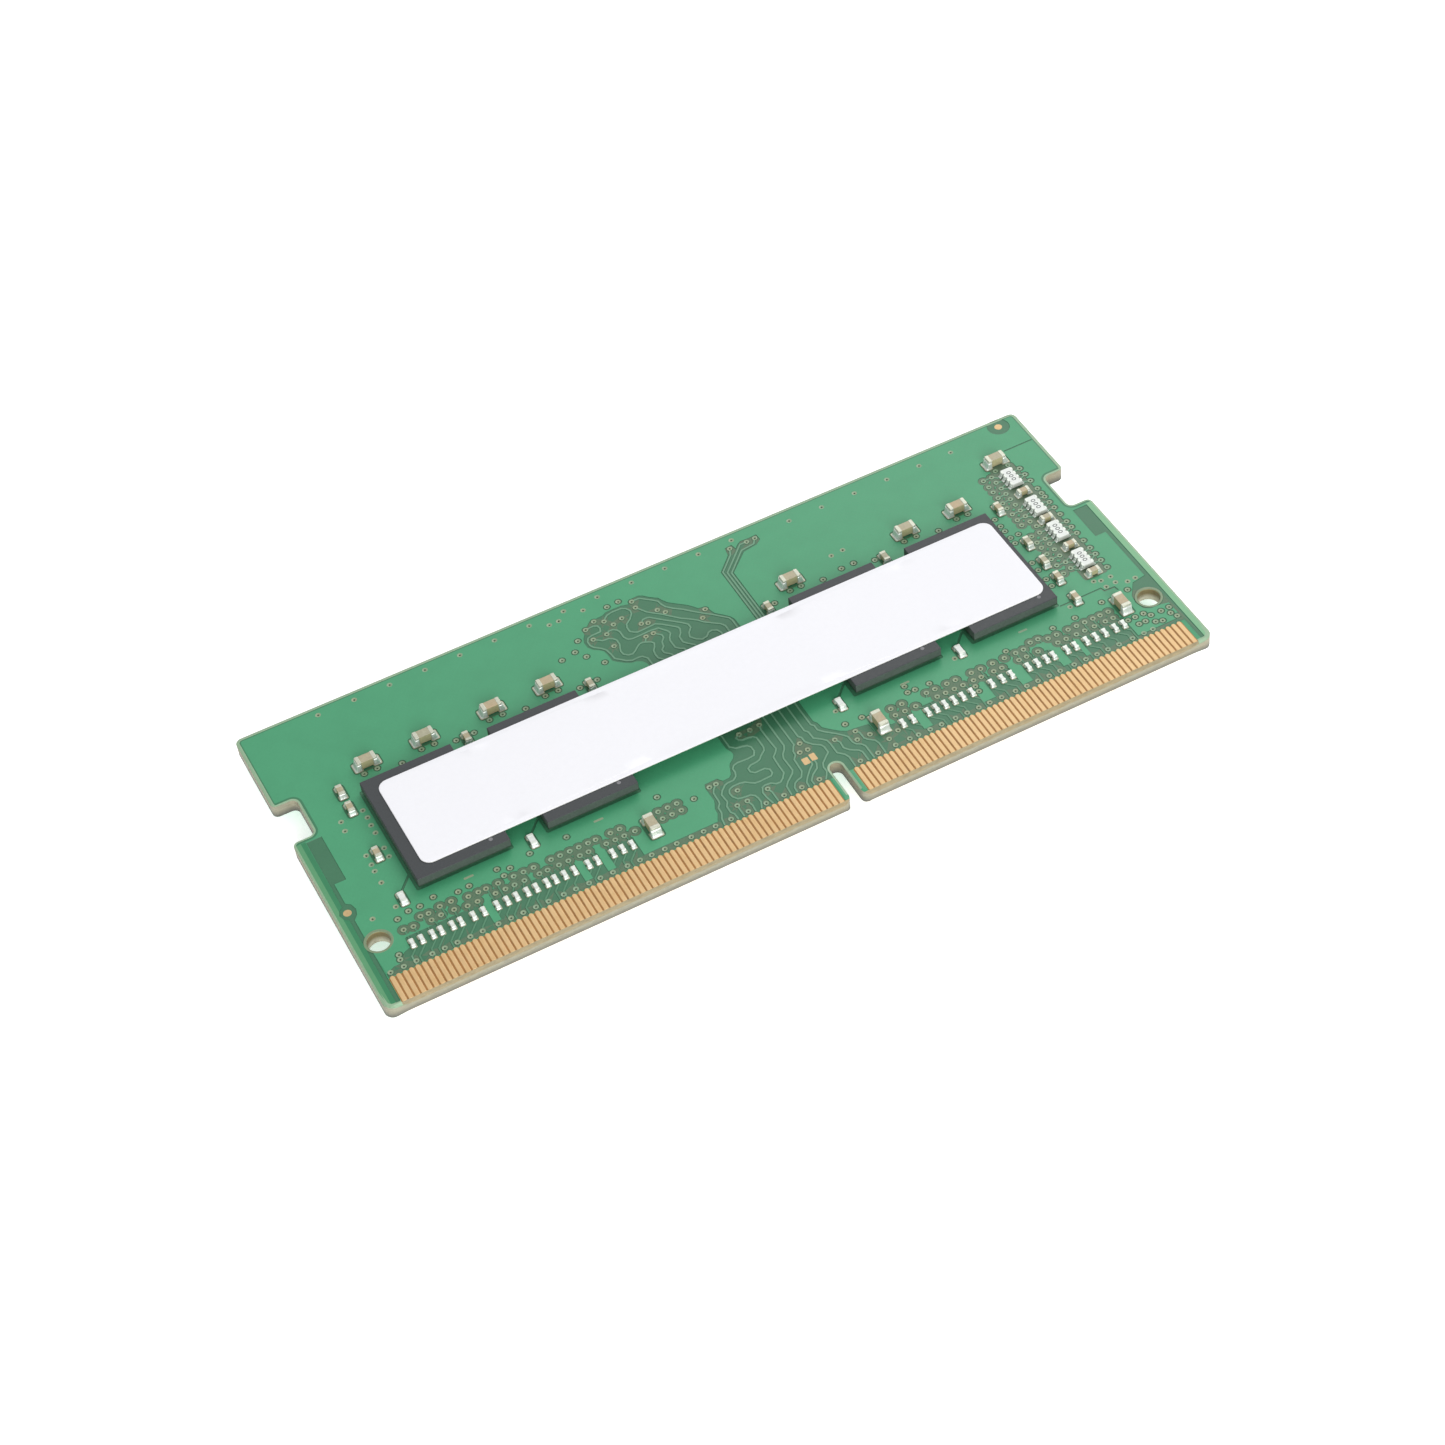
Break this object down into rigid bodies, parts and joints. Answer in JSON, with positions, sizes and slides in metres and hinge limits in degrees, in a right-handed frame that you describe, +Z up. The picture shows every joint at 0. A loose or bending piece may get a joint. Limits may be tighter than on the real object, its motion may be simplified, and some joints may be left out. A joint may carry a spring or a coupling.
{
  "type": "memory module",
  "caption": "Thin rectangular memory board with an edge contact row, a key slot, side latch notches, flat black packages on both faces and a blank label across the top.",
  "frame": {"origin": "under the centre of the board's outline, on the plane that the four lower packages rest on", "axes": "+X along the contact edge from its left end, +Y from the contact edge to the back edge, +Z up through the board"},
  "size_m": [0.0696, 0.03, 0.0035],
  "materials": {
    "board": "green solder mask over glass-epoxy laminate, semi-gloss",
    "contact_gold": "gold plate on copper, satin",
    "package_mould": "dark grey moulding compound, matte",
    "silicon": "ground silicon, satin",
    "package_substrate": "thin laminate with solder balls",
    "label": "blank white polymer film, matte",
    "spd_package": "black moulding compound, matte",
    "capacitor": "fired ceramic with tinned ends, satin",
    "resistor": "white alumina with tinned ends, satin"
  },
  "bodies": {
    "root": {"capacitor_end_1": "capacitor", "capacitor_end_2": "capacitor", "capacitor_end_3": "capacitor", "capacitor_end_4": "capacitor", "capacitor_gap_1": "capacitor", "capacitor_gap_2": "capacitor", "capacitor_gap_3": "capacitor", "capacitor_gap_4": "capacitor", "capacitor_gap_5": "capacitor", "capacitor_gap_6": "capacitor", "capacitor_lower_1": "capacitor", "capacitor_lower_2": "capacitor", "capacitor_lower_3": "capacitor", "capacitor_rear_1": "capacitor", "capacitor_rear_2": "capacitor", "capacitor_rear_3": "capacitor", "capacitor_rear_4": "capacitor", "capacitor_rear_5": "capacitor", "capacitor_rear_6": "capacitor", "capacitor_rear_7": "capacitor", "capacitor_rear_8": "capacitor", "circuit_board": "board", "contacts_back_left": "contact_gold", "contacts_back_right": "contact_gold", "contacts_front_left": "contact_gold", "contacts_front_right": "contact_gold", "dram_die_back_1": "silicon", "dram_die_back_2": "silicon", "dram_die_back_3": "silicon", "dram_die_back_4": "silicon", "dram_die_front_1": "silicon", "dram_die_front_2": "silicon", "dram_die_front_3": "silicon", "dram_die_front_4": "silicon", "dram_mould_back_1": "package_mould", "dram_mould_back_2": "package_mould", "dram_mould_back_3": "package_mould", "dram_mould_back_4": "package_mould", "dram_mould_front_1": "package_mould", "dram_mould_front_2": "package_mould", "dram_mould_front_3": "package_mould", "dram_mould_front_4": "package_mould", "dram_substrate_back_1": "package_substrate", "dram_substrate_back_2": "package_substrate", "dram_substrate_back_3": "package_substrate", "dram_substrate_back_4": "package_substrate", "dram_substrate_front_1": "package_substrate", "dram_substrate_front_2": "package_substrate", "dram_substrate_front_3": "package_substrate", "dram_substrate_front_4": "package_substrate", "label": "label", "resistor_1": "resistor", "resistor_2": "resistor", "resistor_3": "resistor", "resistor_4": "resistor", "resistor_array_1": "resistor", "resistor_array_2": "resistor", "resistor_array_3": "resistor", "resistor_array_4": "resistor", "spd_chip": "spd_package"}
  },
  "joints": []
}
